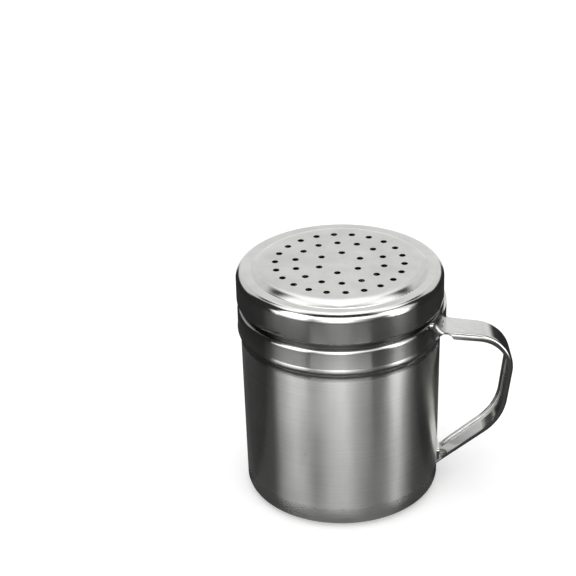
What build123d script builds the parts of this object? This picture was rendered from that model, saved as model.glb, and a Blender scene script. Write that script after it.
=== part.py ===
"""Spice shaker: a drawn steel cup, a perforated lid on lugs and a folded strap handle.

Millimetres, Z up. The origin is on the cup's axis, in the plane that the cup stands on.
The handle points along +X. Each piece is one solid in its own STEP file, and the spot
welds that hold the handle are two groups of small solids.
"""

import os
from math import sqrt

from build123d import *

# Sheet thicknesses
cup_wall = 0.6
lid_wall = 0.6
strap_wall = 0.9

# Cup: a tapered body, an S-shaped step out to the collar, a shoulder and a neck
collar_radius = 36.0
collar_height = 8.3
body_height = 60.4
body_draft = 0.7
foot_corner_radius = 4.0
foot_ring_width = 3.4
recess_depth = 0.8
step_height = 3.0
step_depth = 1.1
bead_height = 1.1
bead_rise = 0.15
shoulder_radius = 1.5

# Lid: a raised perforated panel, a flat rim and a skirt with a curled lower edge
skirt_depth = 11.4
skirt_gap = 1.9
rim_radius = 2.8
rim_flat_width = 2.5
panel_rise = 1.5
panel_slope_run = 4.8
panel_foot_radius = 1.0
hem_radius = 0.9
neck_clearance = 1.2
lip_clearance = 0.05

# Sprinkling holes in three rings, set in from the panel's edge, with the angle of each ring's first hole
hole_diameter = 2.3
hole_ring_insets = (18.2, 10.4, 3.6)
hole_counts = (6, 14, 22)
first_hole_angles = (21.4, 12.8, 10.5)

# Lugs: short rolled ridges that sink back into the sheet at both ends
lug_count = 3
lid_lug_depth = 0.5
lid_lug_angle = -135.5
lid_lug_height = 1.5
lid_lug_tilt = 5.0
lid_lug_roll = 0.7
neck_lug_depth = 0.95
neck_lug_turn = 34.0
neck_lug_height = 4.2
neck_lug_roll = 1.3
neck_lug_bend = 22.0
bead_end_depth = 0.3
bead_end_angle = -45.5
bead_end_height = 0.6
bead_end_roll = 0.7
bead_end_bend = 22.0

# Handle: a strap folded to a shallow channel, its crown on a path in the XZ plane
grip_top_width = 13.2
grip_bottom_width = 9.4
grip_top_depth = 2.3
grip_bottom_depth = 1.7
grip_run_in = 1.2
grip_corner_radius = 1.4
grip_reach = 26.2
grip_fall = 3.7
grip_upper_bend = 14.0
grip_lower_reach = 21.8
grip_lower_bend = 20.0
grip_lower_height = 23.8
grip_foot_height = 5.8
grip_foot_gap = 3.2
root_drop = 2.4
root_run = 1.4
root_flare = 0.6
root_straight = 0.4
root_bend_radius = 1.0

# Tabs that lie on the cup, and the spot welds through them
tab_waist_rise = 0.2
tab_flare_rise = 3.6
tab_flare_half_width = 15.5
tab_top_half_width = 22.2
tab_corner_radius = 1.0
tab_lid_gap = 0.9
foot_tab_height = 11.8
foot_tab_width = 8.4
weld_diameter = 2.8
weld_dimple = 0.15
upper_weld_angles = (-21.0, -8.0, 8.0, 21.0)
upper_weld_drop = 4.4
lower_weld_angles = (-3.7, 3.7)
lower_weld_drop = 2.2

# Places that follow from the sizes above
body_radius = collar_radius - step_depth
foot_radius = body_radius - body_draft
recess_edge_radius = foot_radius - foot_corner_radius - foot_ring_width
recess_radius = recess_edge_radius - recess_depth
bead_z = body_height + step_height
band_radius = collar_radius - bead_rise
shoulder_z = bead_z + collar_height
lid_radius = collar_radius
panel_radius = lid_radius - rim_radius - rim_flat_width - panel_slope_run
hole_ring_radii = [panel_radius - inset for inset in hole_ring_insets]
skirt_z = shoulder_z + skirt_gap
rim_z = skirt_z + skirt_depth
panel_z = rim_z + panel_rise
skirt_inner_radius = lid_radius - lid_wall
neck_radius = skirt_inner_radius - neck_clearance
lip_reach = neck_radius - (lid_radius - rim_radius)
lip_z = rim_z - rim_radius + sqrt((rim_radius - lid_wall - lip_clearance) ** 2 - lip_reach**2)
root_z = bead_z - root_drop
root_width = grip_top_width - 2 * root_flare
tab_outer_radius = collar_radius + strap_wall


def wall_radius(z):
    """Outer radius of the tapered body at height z."""
    return foot_radius + body_draft * z / body_height


os.makedirs("parts", exist_ok=True)

# ---------------------------------------------------------------- cup

neck_lug_radius = neck_radius + neck_lug_depth - neck_lug_roll - neck_lug_bend
neck_lug_places = [
    Location((0, 0, skirt_z + neck_lug_height)) * place
    for place in PolarLocations(neck_lug_radius, lug_count, start_angle=lid_lug_angle + neck_lug_turn)
]

with BuildPart() as neck_lugs:
    with Locations(*neck_lug_places):
        Torus(neck_lug_bend, neck_lug_roll)
    Cylinder(neck_radius - cup_wall, 2 * panel_z, mode=Mode.SUBTRACT)

with BuildPart() as neck_lug_hollows:
    with Locations(*neck_lug_places):
        Torus(neck_lug_bend, neck_lug_roll - cup_wall)

with BuildPart() as bead_end:
    with Locations(Location((0, 0, body_height + bead_end_height), (0, 0, bead_end_angle))):
        with Locations((body_radius + bead_end_depth - bead_end_roll - bead_end_bend, 0)):
            Torus(bead_end_bend, bead_end_roll)
    Cylinder(body_radius - cup_wall / 4, 2 * panel_z, mode=Mode.SUBTRACT)

with BuildPart() as cup:
    with BuildSketch(Plane.XZ):
        with BuildLine():
            base = Polyline(
                (0, recess_depth),
                (recess_radius, recess_depth),
                (recess_edge_radius, 0),
                (foot_radius, 0),
                (body_radius, body_height),
            )
            step_middle = ((body_radius + collar_radius) / 2, body_height + step_height / 2)
            step_in = TangentArc(base @ 1, step_middle, tangent=(0, 1))
            step_out = TangentArc(step_middle, (collar_radius, bead_z), tangent=step_in % 1)
            bead = TangentArc((collar_radius, bead_z), (band_radius, bead_z + bead_height), tangent=(0, 1))
            band = Line(bead @ 1, (band_radius, shoulder_z - shoulder_radius))
            shoulder = JernArc(band @ 1, (0, 1), shoulder_radius, 90)
            ledge = Line(shoulder @ 1, (neck_radius, shoulder_z))
            Line(ledge @ 1, (neck_radius, lip_z))
            fillet(base.vertices().group_by(Axis.Y)[0].sort_by(Axis.X)[-1], foot_corner_radius)
            offset(amount=cup_wall, side=Side.LEFT)
        make_face()
    revolve(axis=Axis.Z)
    add(neck_lugs.part)
    add(neck_lug_hollows.part, mode=Mode.SUBTRACT)
    add(bead_end.part)
cup.part.label = "cup"
export_step(cup.part, "parts/cup.step")

# ---------------------------------------------------------------- lid

lid_lug_places = [
    Location((0, 0, skirt_z + lid_lug_height)) * place
    for place in PolarLocations(lid_radius - lid_lug_depth + lid_lug_roll, lug_count, start_angle=lid_lug_angle)
]
lid_lug_lean = (90 + lid_lug_tilt, 0, 0)

with BuildPart() as lid_lugs:
    with Locations(*lid_lug_places):
        Cylinder(lid_lug_roll + lid_wall, lid_radius, rotation=lid_lug_lean)
    Cylinder(lid_radius - lid_wall / 2, 2 * panel_z, mode=Mode.INTERSECT)

with BuildPart() as lid_lug_grooves:
    with Locations(*lid_lug_places):
        Cylinder(lid_lug_roll, lid_radius, rotation=lid_lug_lean)

with BuildPart() as lid:
    with BuildSketch(Plane.XZ):
        with BuildLine() as lid_line:
            panel = Line((0, panel_z), (panel_radius, panel_z))
            slope = TangentArc(panel @ 1, (panel_radius + panel_slope_run, rim_z), tangent=(1, 0))
            rim = Polyline(slope @ 1, (lid_radius, rim_z), (lid_radius, skirt_z + hem_radius))
            JernArc(rim @ 1, (0, -1), hem_radius, -90)
            fillet(lid_line.vertices().sort_by(Axis.X)[2], panel_foot_radius)
            fillet(lid_line.vertices().group_by(Axis.X)[-1].sort_by(Axis.Y)[-1], rim_radius)
            offset(amount=lid_wall, side=Side.RIGHT)
        make_face()
    revolve(axis=Axis.Z)
    for ring_radius, count, first_angle in zip(hole_ring_radii, hole_counts, first_hole_angles):
        with BuildSketch(Plane.XY.offset(panel_z)):
            with PolarLocations(ring_radius, count, start_angle=first_angle):
                Circle(hole_diameter / 2)
        extrude(amount=-2 * lid_wall, mode=Mode.SUBTRACT)
    add(lid_lugs.part)
    add(lid_lug_grooves.part, mode=Mode.SUBTRACT)
lid.part.label = "lid"
export_step(lid.part, "parts/lid.step")

# ---------------------------------------------------------------- weld places

tab_top_z = skirt_z - tab_lid_gap
upper_weld_z = tab_top_z - upper_weld_drop
upper_weld_places = [Location((0, 0, upper_weld_z), (0, 0, angle)) for angle in upper_weld_angles]
lower_weld_z = foot_tab_height - lower_weld_drop
lower_weld_places = [Location((0, 0, lower_weld_z), (0, 0, angle)) for angle in lower_weld_angles]
from_axis = (Align.CENTER, Align.CENTER, Align.MIN)

with BuildPart() as upper_pins:
    with Locations(*upper_weld_places):
        Cylinder(weld_diameter / 2, 2 * collar_radius, rotation=(0, 90, 0), align=from_axis)

with BuildPart() as lower_pins:
    with Locations(*lower_weld_places):
        Cylinder(weld_diameter / 2, 2 * collar_radius, rotation=(0, 90, 0), align=from_axis)

# ---------------------------------------------------------------- handle

grip_slope = grip_fall / (grip_reach - strap_wall)
root_end = tab_outer_radius + root_run
root_end_z = root_z - root_run * grip_slope
knuckle = (collar_radius + grip_reach, root_z - grip_fall)
elbow = (collar_radius + grip_lower_reach, grip_lower_height)
grip_foot = (wall_radius(grip_foot_height), grip_foot_height)
waist_z = root_z + tab_waist_rise
flare_z = waist_z + tab_flare_rise
flare_start = root_end - root_straight - root_flare
cone_sizes = (wall_radius(0), wall_radius(panel_z), panel_z)
tab_cone_sizes = (wall_radius(0) + strap_wall, wall_radius(panel_z) + strap_wall, panel_z)

with BuildPart() as root_outline:
    with BuildSketch(Plane.YZ):
        with BuildLine():
            half_tab = Polyline(
                (0, root_z - grip_top_depth),
                (root_width / 2, root_z - grip_top_depth),
                (root_width / 2, waist_z),
                (tab_flare_half_width, flare_z),
                (tab_top_half_width, tab_top_z),
                (0, tab_top_z),
            )
            fillet(half_tab.vertices().sort_by(Axis.X)[2:], tab_corner_radius)
            mirror(about=Plane.YZ)
        make_face()
    extrude(amount=root_end)
    with BuildSketch(Plane.XY.offset(root_z - grip_top_depth)):
        with BuildLine():
            half_root = Polyline(
                (flare_start, 0),
                (flare_start, root_width / 2),
                (root_end - root_straight, grip_top_width / 2),
                (root_end, grip_top_width / 2),
                (root_end, 0),
            )
            mirror(about=Plane.XZ)
        make_face()
    extrude(amount=grip_top_depth)

with BuildPart() as root:
    with BuildSketch(Plane.XZ):
        with BuildLine() as root_line:
            Polyline(
                (tab_outer_radius, tab_top_z),
                (tab_outer_radius, root_z),
                (root_end + strap_wall, root_end_z - strap_wall * grip_slope),
            )
            fillet(root_line.vertices().group_by(Axis.Y)[0].sort_by(Axis.X)[0], root_bend_radius)
            offset(amount=strap_wall, side=Side.RIGHT)
        make_face()
    revolve(axis=Axis.Z)
    add(root_outline.part, mode=Mode.INTERSECT)
    add(upper_pins.part, mode=Mode.SUBTRACT)

with BuildPart() as foot_tab:
    with BuildSketch(Plane.YZ):
        with Locations((0, (grip_foot_height + strap_wall + foot_tab_height) / 2)):
            blade = Rectangle(foot_tab_width, foot_tab_height - grip_foot_height - strap_wall)
        fillet(blade.vertices().group_by(Axis.Y)[-1], tab_corner_radius)
    extrude(amount=2 * collar_radius)
    Cone(*tab_cone_sizes, align=from_axis, mode=Mode.INTERSECT)
    Cone(*cone_sizes, align=from_axis, mode=Mode.SUBTRACT)
    add(lower_pins.part, mode=Mode.SUBTRACT)

with BuildLine(Plane.XZ) as grip_line:
    Polyline((root_end, root_end_z), knuckle, elbow, grip_foot)
    fillet(grip_line.vertices().sort_by(Axis.X)[-1], grip_upper_bend)
    fillet(grip_line.vertices().sort_by(Axis.Z)[1], grip_lower_bend)
grip_wire = grip_line.wires()[0]
grip_path = grip_wire.trim(0, 1 - grip_foot_gap / grip_wire.length)

with BuildPart() as handle:
    for end, width, depth in ((0, grip_top_width, grip_top_depth), (1, grip_bottom_width, grip_bottom_depth)):
        with BuildSketch(Plane(grip_path @ end, x_dir=(0, 1, 0), z_dir=grip_path % end)):
            with BuildLine():
                channel = Polyline(
                    (-width / 2, -depth),
                    (-width / 2, 0),
                    (width / 2, 0),
                    (width / 2, -depth),
                )
                fillet(channel.vertices().group_by(Axis.Y)[-1], grip_corner_radius)
                offset(amount=strap_wall, side=Side.RIGHT)
            make_face()
    sweep(path=grip_path, multisection=True)
    with BuildSketch(Plane(grip_path @ 0, x_dir=grip_path % 0, z_dir=(0, -1, 0))):
        with BuildLine():
            Polyline(
                (-strap_wall, -strap_wall),
                (0, -strap_wall),
                (grip_run_in, -grip_top_depth),
                (grip_run_in, -2 * grip_top_depth),
                (-strap_wall, -2 * grip_top_depth),
                close=True,
            )
        make_face()
    extrude(amount=grip_top_width, both=True, mode=Mode.SUBTRACT)
    with BuildSketch(Plane(grip_path @ 1, x_dir=(0, 1, 0), z_dir=grip_path % 1)):
        with Locations((0, -grip_bottom_depth / 2)):
            web = Rectangle(grip_bottom_width, grip_bottom_depth)
        fillet(web.vertices().group_by(Axis.Y)[-1], grip_corner_radius)
        with Locations((0, -strap_wall - grip_bottom_depth / 2)):
            Rectangle(grip_bottom_width, grip_bottom_depth, mode=Mode.SUBTRACT)
    extrude(amount=2 * grip_foot_gap)
    Cone(*cone_sizes, align=from_axis, mode=Mode.SUBTRACT)
    add(foot_tab.part)
    add(root.part)
handle.part.label = "handle"
export_step(handle.part, "parts/handle.step")

# ---------------------------------------------------------------- spot welds

nugget_height = strap_wall - weld_dimple

with BuildPart() as upper_spot_welds:
    add(upper_pins.part)
    Cylinder(collar_radius + nugget_height, 2 * panel_z, mode=Mode.INTERSECT)
    Cylinder(band_radius, 2 * panel_z, mode=Mode.SUBTRACT)
upper_spot_welds.part.label = "upper_spot_welds"
export_step(upper_spot_welds.part, "parts/upper_spot_welds.step")

with BuildPart() as lower_spot_welds:
    add(lower_pins.part)
    nugget_cone_sizes = (wall_radius(0) + nugget_height, wall_radius(panel_z) + nugget_height, panel_z)
    Cone(*nugget_cone_sizes, align=from_axis, mode=Mode.INTERSECT)
    Cone(*cone_sizes, align=from_axis, mode=Mode.SUBTRACT)
lower_spot_welds.part.label = "lower_spot_welds"
export_step(lower_spot_welds.part, "parts/lower_spot_welds.step")
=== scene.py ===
"""Spice shaker: a drawn steel cup, a perforated lid and a folded strap handle, spot welded on."""

import bpy
import numpy as np
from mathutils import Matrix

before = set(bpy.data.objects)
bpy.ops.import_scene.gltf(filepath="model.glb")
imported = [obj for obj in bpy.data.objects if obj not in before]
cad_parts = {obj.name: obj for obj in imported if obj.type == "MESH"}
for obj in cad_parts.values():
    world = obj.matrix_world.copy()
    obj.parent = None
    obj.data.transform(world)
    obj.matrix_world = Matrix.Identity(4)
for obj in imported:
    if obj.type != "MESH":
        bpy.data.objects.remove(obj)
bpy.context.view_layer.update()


# ---------------------------------------------------------------- cup
# One piece of stainless sheet, drawn to a tapered body under a wider collar, then spun against
# an abrasive belt, which leaves fine lines round the wall.

finish_and_shade_span = 0.1


def belt_marks():
    """Node group: belt lines round the wall, and the streaks that wiping leaves down it."""
    group = bpy.data.node_groups.new("belt_marks", "ShaderNodeTree")
    face = group.interface
    face.new_socket("Place", in_out="INPUT", socket_type="NodeSocketVector")
    face.new_socket("Lay", in_out="INPUT", socket_type="NodeSocketVector")
    face.new_socket("Tone", in_out="OUTPUT", socket_type="NodeSocketFloat")
    face.new_socket("Gloss", in_out="OUTPUT", socket_type="NodeSocketFloat")
    face.new_socket("Relief", in_out="OUTPUT", socket_type="NodeSocketFloat")
    nodes, links = group.nodes, group.links
    start, end = nodes.new("NodeGroupInput"), nodes.new("NodeGroupOutput")

    def spread(source, low, high):
        """Carries a noise of 0 to 1 to the span from low to high."""
        span = nodes.new("ShaderNodeMapRange")
        span.inputs["To Min"].default_value = low
        span.inputs["To Max"].default_value = high
        links.new(source.outputs["Fac"], span.inputs["Value"])
        return span.outputs[0]

    laid = nodes.new("ShaderNodeVectorMath")
    laid.operation = "MULTIPLY"
    links.new(start.outputs["Place"], laid.inputs[0])
    links.new(start.outputs["Lay"], laid.inputs[1])
    lines = nodes.new("ShaderNodeTexNoise")
    lines.inputs["Scale"].default_value = 1.0
    lines.inputs["Detail"].default_value = 5.0
    lines.inputs["Roughness"].default_value = 0.7
    links.new(laid.outputs[0], lines.inputs["Vector"])
    wiped = nodes.new("ShaderNodeVectorMath")
    wiped.operation = "MULTIPLY"
    wiped.inputs[1].default_value = (110, 110, 35)
    links.new(start.outputs["Place"], wiped.inputs[0])
    streaks = nodes.new("ShaderNodeTexNoise")
    streaks.inputs["Scale"].default_value = 1.0
    streaks.inputs["Detail"].default_value = 4.0
    links.new(wiped.outputs[0], streaks.inputs["Vector"])
    tone = nodes.new("ShaderNodeMath")
    tone.operation = "MULTIPLY"
    links.new(spread(lines, 0.82, 1.16), tone.inputs[0])
    links.new(spread(streaks, 0.84, 1.14), tone.inputs[1])
    links.new(tone.outputs[0], end.inputs["Tone"])
    links.new(spread(streaks, 0.85, 1.15), end.inputs["Gloss"])
    links.new(lines.outputs["Fac"], end.inputs["Relief"])
    return group


marks = belt_marks()


def steel(name, tint, lay, relief_depth, brushing, finish_and_shade):
    """Stainless steel whose finish changes with height, as (height, roughness, tone) rows; on the cup
    and lid the tone also paints shade.

    Brushing runs round the piece, so it draws reflections out along Z. Heights run from 0 to
    finish_and_shade_span.
    """
    material = bpy.data.materials.new(name)
    material.use_nodes = True
    nodes, links = material.node_tree.nodes, material.node_tree.links
    metal = nodes["Principled BSDF"]
    metal.inputs["Metallic"].default_value = 1.0
    metal.inputs["Anisotropic"].default_value = brushing
    metal.inputs["Anisotropic Rotation"].default_value = 0.25
    place = nodes.new("ShaderNodeTexCoord")
    worn = nodes.new("ShaderNodeGroup")
    worn.node_tree = marks
    worn.inputs["Lay"].default_value = lay
    links.new(place.outputs["Object"], worn.inputs["Place"])
    axes = nodes.new("ShaderNodeSeparateXYZ")
    links.new(place.outputs["Object"], axes.inputs[0])
    height = nodes.new("ShaderNodeMath")
    height.operation = "DIVIDE"
    height.inputs[1].default_value = finish_and_shade_span
    links.new(axes.outputs["Z"], height.inputs[0])
    rows = nodes.new("ShaderNodeValToRGB")
    stops = rows.color_ramp.elements
    stops.remove(stops[-1])
    stops[0].position = finish_and_shade[0][0] / finish_and_shade_span
    stops[0].color = (*finish_and_shade[0][1:], 0, 1)
    for row in finish_and_shade[1:]:
        stops.new(row[0] / finish_and_shade_span).color = (*row[1:], 0, 1)
    links.new(height.outputs[0], rows.inputs["Fac"])
    parts = nodes.new("ShaderNodeSeparateColor")
    links.new(rows.outputs["Color"], parts.inputs[0])
    roughness = nodes.new("ShaderNodeMath")
    roughness.operation = "MULTIPLY"
    links.new(parts.outputs[0], roughness.inputs[0])
    links.new(worn.outputs["Gloss"], roughness.inputs[1])
    links.new(roughness.outputs[0], metal.inputs["Roughness"])
    # Base colour level: the row's tone, which paints shade on cup and lid, times the belt marks' tone.
    level = nodes.new("ShaderNodeMath")
    level.operation = "MULTIPLY"
    links.new(parts.outputs[1], level.inputs[0])
    links.new(worn.outputs["Tone"], level.inputs[1])
    shade = nodes.new("ShaderNodeVectorMath")
    shade.operation = "SCALE"
    shade.inputs[0].default_value = tint
    links.new(level.outputs[0], shade.inputs["Scale"])
    links.new(shade.outputs[0], metal.inputs["Base Color"])
    bump = nodes.new("ShaderNodeBump")
    bump.inputs["Distance"].default_value = relief_depth
    links.new(worn.outputs["Relief"], bump.inputs["Height"])
    links.new(bump.outputs[0], metal.inputs["Normal"])
    tangent = nodes.new("ShaderNodeTangent")
    tangent.direction_type = "RADIAL"
    tangent.axis = "Z"
    links.new(tangent.outputs[0], metal.inputs["Tangent"])
    return material


# From the foot up: rounded corner, wall, step, bead, collar, shoulder, and the neck in the lid. The
# tone column paints shade in the step, up the collar and shoulder, in the gap under the lid's edge and
# over the neck.
cup_finish_and_painted_shade = (
    (0.0, 0.17, 0.88),
    (0.0040, 0.17, 0.88),
    (0.0085, 0.29, 1.0),
    (0.0590, 0.29, 1.0),
    # Painted shade: the step under the bead is darkened to tone 0.55.
    (0.0607, 0.17, 0.55),
    (0.0628, 0.17, 0.55),
    (0.0638, 0.24, 0.85),
    # Painted shade: tone falls from 0.90 at the bead to 0.70 at the collar's top and 0.65 over the
    # shoulder, under the lid's skirt.
    (0.0650, 0.20, 0.90),
    (0.0700, 0.20, 0.70),
    (0.0706, 0.12, 0.65),
    (0.0714, 0.12, 0.65),
    # Painted shade: nearly black, tone 0.10, in the gap under the lid's turned-in edge.
    (0.0717, 0.45, 0.10),
    (0.0730, 0.45, 0.10),
    # Painted shade: the neck inside the lid is darkened to tone 0.45, on top of its rougher finish.
    (0.0734, 0.42, 0.45),
    (0.0840, 0.42, 0.45),
)
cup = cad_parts["cup"]
cup.material_slots[0].material = steel(
    "cup_steel", (0.80, 0.80, 0.78), (25, 25, 2600), 0.000008, 1.0, cup_finish_and_painted_shade
)

# ---------------------------------------------------------------- lid
# Pressed from a thin disc, with 42 punched holes: satin on top, and belt lines round its skirt.

# From the turned-in edge up: edge, skirt, rounded rim, flat rim, sloping edge and panel. The turned-in
# edge's tone of 0.4 is painted shade.
lid_finish_and_painted_shade = (
    # Painted shade: the turned-in edge is darkened to tone 0.4.
    (0.0736, 0.30, 0.4),
    (0.0741, 0.30, 0.4),
    (0.0746, 0.17, 0.97),
    (0.0800, 0.17, 1.04),
    (0.0818, 0.17, 1.03),
    (0.0826, 0.12, 0.9),
    (0.0848, 0.12, 0.87),
    (0.0850, 0.18, 0.87),
    (0.0853, 0.14, 0.87),
    (0.0862, 0.14, 0.87),
    (0.0865, 0.18, 0.87),
)
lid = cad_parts["lid"]
lid.material_slots[0].material = steel(
    "lid_steel", (0.73, 0.73, 0.712), (30, 30, 2600), 0.000008, 0.6, lid_finish_and_painted_shade
)

# ---------------------------------------------------------------- handle
# A strap folded to a channel, polished along its length, with its ends spread into tabs.

handle_finish = ((0.0, 0.13, 1.0),)
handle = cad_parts["handle"]
handle.material_slots[0].material = steel(
    "handle_steel", (0.66, 0.66, 0.645), (300, 1500, 300), 0.00001, 0.0, handle_finish
)

# ---------------------------------------------------------------- spot welds
# Nuggets where the electrodes pressed the strap into the cup, matt and a little darker.

weld_finish = ((0.0, 0.32, 0.6),)
for name in ("upper_spot_welds", "lower_spot_welds"):
    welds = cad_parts[name]
    welds.material_slots[0].material = steel(
        name, (0.62, 0.62, 0.605), (900, 900, 900), 0.00002, 0.0, weld_finish
    )

# ---------------------------------------------------------------- floor
# A white table top, lit evenly by a white sky; it takes the shaker's soft shadow. Its lift is a
# faint light that only the camera and reflections see, so that the white stays white.

floor_half = 3
floor_white = 0.95
floor_lift = 0.22

scene = bpy.context.scene
scene.view_settings.view_transform = "Standard"
world = bpy.data.worlds.new("white sky")
world.use_nodes = True
world.node_tree.nodes["Background"].inputs["Color"].default_value = (1, 1, 1, 1)
world.node_tree.nodes["Background"].inputs["Strength"].default_value = 1.0
scene.world = world

floor_corners = [
    (-floor_half, -floor_half, 0),
    (floor_half, -floor_half, 0),
    (floor_half, floor_half, 0),
    (-floor_half, floor_half, 0),
]
floor_mesh = bpy.data.meshes.new("floor")
floor_mesh.from_pydata(floor_corners, [], [(0, 1, 2, 3)])
floor = bpy.data.objects.new("floor", floor_mesh)
scene.collection.objects.link(floor)
white = bpy.data.materials.new("white floor")
white.use_nodes = True
floor_nodes, floor_links = white.node_tree.nodes, white.node_tree.links
floor_paint = floor_nodes["Principled BSDF"]
floor_paint.inputs["Base Color"].default_value = (floor_white, floor_white, floor_white, 1)
floor_paint.inputs["Roughness"].default_value = 0.9
floor_paint.inputs["Specular IOR Level"].default_value = 0.0
lift = floor_nodes.new("ShaderNodeEmission")
rays = floor_nodes.new("ShaderNodeLightPath")
seen = floor_nodes.new("ShaderNodeMath")
seen.operation = "MAXIMUM"
floor_links.new(rays.outputs["Is Camera Ray"], seen.inputs[0])
floor_links.new(rays.outputs["Is Glossy Ray"], seen.inputs[1])
lift_level = floor_nodes.new("ShaderNodeMath")
lift_level.operation = "MULTIPLY"
lift_level.inputs[1].default_value = floor_lift
floor_links.new(seen.outputs[0], lift_level.inputs[0])
floor_links.new(lift_level.outputs[0], lift.inputs["Strength"])
together = floor_nodes.new("ShaderNodeAddShader")
floor_links.new(floor_paint.outputs[0], together.inputs[0])
floor_links.new(lift.outputs[0], together.inputs[1])
floor_links.new(together.outputs[0], floor_nodes["Material Output"].inputs["Surface"])
floor_mesh.materials.append(white)

# ---------------------------------------------------------------- light tent
# Cards on stands round the table, which only the metal's reflections see: tall strips of light in
# front, black at both sides, pale cards behind, a white ceiling and a dark table top.

tent_radius = 0.6
tent_eye = 0.06
tent_clearance = 0.0004
tent_around = 360
tent_up = 150
camera_side = 2.5


def tent_surface(radius, around, up):
    """Dome over a disc: each meridian runs out along the floor to the dome's foot, then up over it."""
    turn = np.linspace(0, 2 * np.pi, around, endpoint=False)
    climb = np.linspace(0, np.pi / 2, up)
    reach = np.concatenate([np.linspace(0.0, radius, up, endpoint=False), radius * np.cos(climb)])
    rise = np.concatenate([np.zeros(up), radius * np.sin(climb)])
    x = np.outer(reach, np.cos(turn))
    y = np.outer(reach, np.sin(turn))
    z = np.outer(rise, np.ones(around)) + tent_clearance
    points = np.stack([x, y, z], -1)
    row, column = np.meshgrid(np.arange(2 * up - 1), np.arange(around), indexing="ij")
    following = (column + 1) % around
    inner, outer = row * around, (row + 1) * around
    quads = np.stack([inner + column, outer + column, outer + following, inner + following], -1)
    return points.reshape(-1, 3), quads.reshape(-1, 4)


def smooth(value, low, high):
    """Rises from 0 to 1 between low and high, level at both ends."""
    share = np.clip((value - low) / (high - low), 0, 1)
    return share * share * (3 - 2 * share)


def card(across, climb, left, right, low, high, soft):
    """Lit share of a card between two angles across and two angles of climb, with soft edges."""
    beside = smooth(across, left - soft, left + soft) * smooth(-across, -right - soft, -right + soft)
    return beside * smooth(climb, low - soft, low + soft) * smooth(-climb, -high - soft, -high + soft)


def tent_glow(points):
    """Light of each point of the tent, summed over its cards, by angles in degrees.

    Azimuth runs from the camera's side, climb is the height over the horizon, side is the azimuth
    to either hand, and pitch goes over the top from front to back. Strips are (azimuth, light).
    """
    x, y, z = points[:, 0], points[:, 1], points[:, 2] - tent_eye
    azimuth = (np.degrees(np.arctan2(x, -y)) + camera_side + 180) % 360 - 180
    climb = np.degrees(np.arctan2(z, np.hypot(x, y)))
    side = np.abs(azimuth)
    pitch = np.degrees(np.arctan2(z, -y)) % 360
    strips = np.array(
        (
            (-77, 0.0),
            (-73, 0.6),
            (-69, 1.15),
            (-60, 1.3),
            (-52, 1.5),
            (-44, 1.5),
            (-37, 1.3),
            (-32, 0.7),
            (-27, 0.5),
            (-23, 0.8),
            (-16, 0.95),
            (-4, 1.15),
            (4, 1.15),
            (12, 0.85),
            (20, 0.6),
            (30, 0.3),
            (37, 0.15),
            (44, 0.15),
            (50, 0.7),
            (56, 1.8),
            (63, 2.05),
            (70, 1.1),
            (77, 0.4),
            (86, 0.0),
        )
    )
    strip_light = np.interp(azimuth, strips[:, 0], strips[:, 1])
    glow = np.full(len(points), 0.03)
    # Front window: a pale sheet with the strips before it, and the strips again below it.
    glow += 1.15 * card(azimuth, climb, -66, 84, 15, 49, 6)
    glow += 1.9 * strip_light * card(azimuth, climb, -66, 68, 21, 49, 7)
    below = smooth(climb, -19, 4) * smooth(-climb, -20, -8)
    glow += 1.75 * strip_light**1.5 * below
    # Low in front: a small card at the middle, one on the table, and the table's own faint light.
    glow += 0.9 * card(azimuth, climb, -16, 12, -50, 50, 6) * below
    glow += 1.2 * card(azimuth, climb, -30, 30, -25.5, -22, 1.5)
    glow += 0.04 * card(azimuth, climb, -82, 83, -89, -12, 4)
    glow += 0.12 * smooth(-side, -50, -20) * smooth(-np.hypot(x, y), -0.055, -0.042)
    # Behind and beside: the black cards' upper edges slope down toward the back.
    edge = 22 - 0.3 * (side - 108)
    glow += 0.92 * card(side, climb, 154, 200, -15, 120, 5)
    glow += 0.85 * card(side, climb - edge, 116, 154, 1, 45 - edge, 4)
    glow += 0.7 * card(side, climb, 112, 124, 45, 56, 3)
    glow += 0.55 * card(side, climb, 153, 200, 44, 55, 5)
    glow += 0.6 * card(side, climb, 60, 121, 53, 70, 5)
    # Ceiling, with a dark gap between it and the window.
    glow += 1.45 * smooth(pitch, 84, 98) * smooth(-pitch, -136, -120) * smooth(climb, 51, 62)
    return glow


tent_points, tent_faces = tent_surface(tent_radius, tent_around, tent_up)
tent_mesh = bpy.data.meshes.new("light tent")
tent_mesh.from_pydata(tent_points.tolist(), [], tent_faces.tolist())
glow_values = tent_mesh.attributes.new("glow", "FLOAT", "POINT")
glow_values.data.foreach_set("value", tent_glow(tent_points).astype(np.float32))
tent = bpy.data.objects.new("light tent", tent_mesh)
scene.collection.objects.link(tent)
card_light = bpy.data.materials.new("card light")
card_light.use_nodes = True
tent_nodes, tent_links = card_light.node_tree.nodes, card_light.node_tree.links
tent_nodes.remove(tent_nodes["Principled BSDF"])
glow_reader = tent_nodes.new("ShaderNodeAttribute")
glow_reader.attribute_name = "glow"
shine = tent_nodes.new("ShaderNodeEmission")
tent_links.new(glow_reader.outputs["Fac"], shine.inputs["Strength"])
tent_links.new(shine.outputs[0], tent_nodes["Material Output"].inputs["Surface"])
tent_mesh.materials.append(card_light)
tent.visible_camera = False
tent.visible_diffuse = False
tent.visible_shadow = False

# ---------------------------------------------------------------- camera
# A long lens a little above the shaker, with the handle to the right.

lens = bpy.data.cameras.new("camera")
lens.lens = 111.403
lens.clip_start = 0.01
camera = bpy.data.objects.new("camera", lens)
camera.location = (-0.0240, -0.54742, 0.36201)
camera.rotation_euler = np.radians((62.5153, 1.4002, -1.3569))
scene.collection.objects.link(camera)
scene.camera = camera
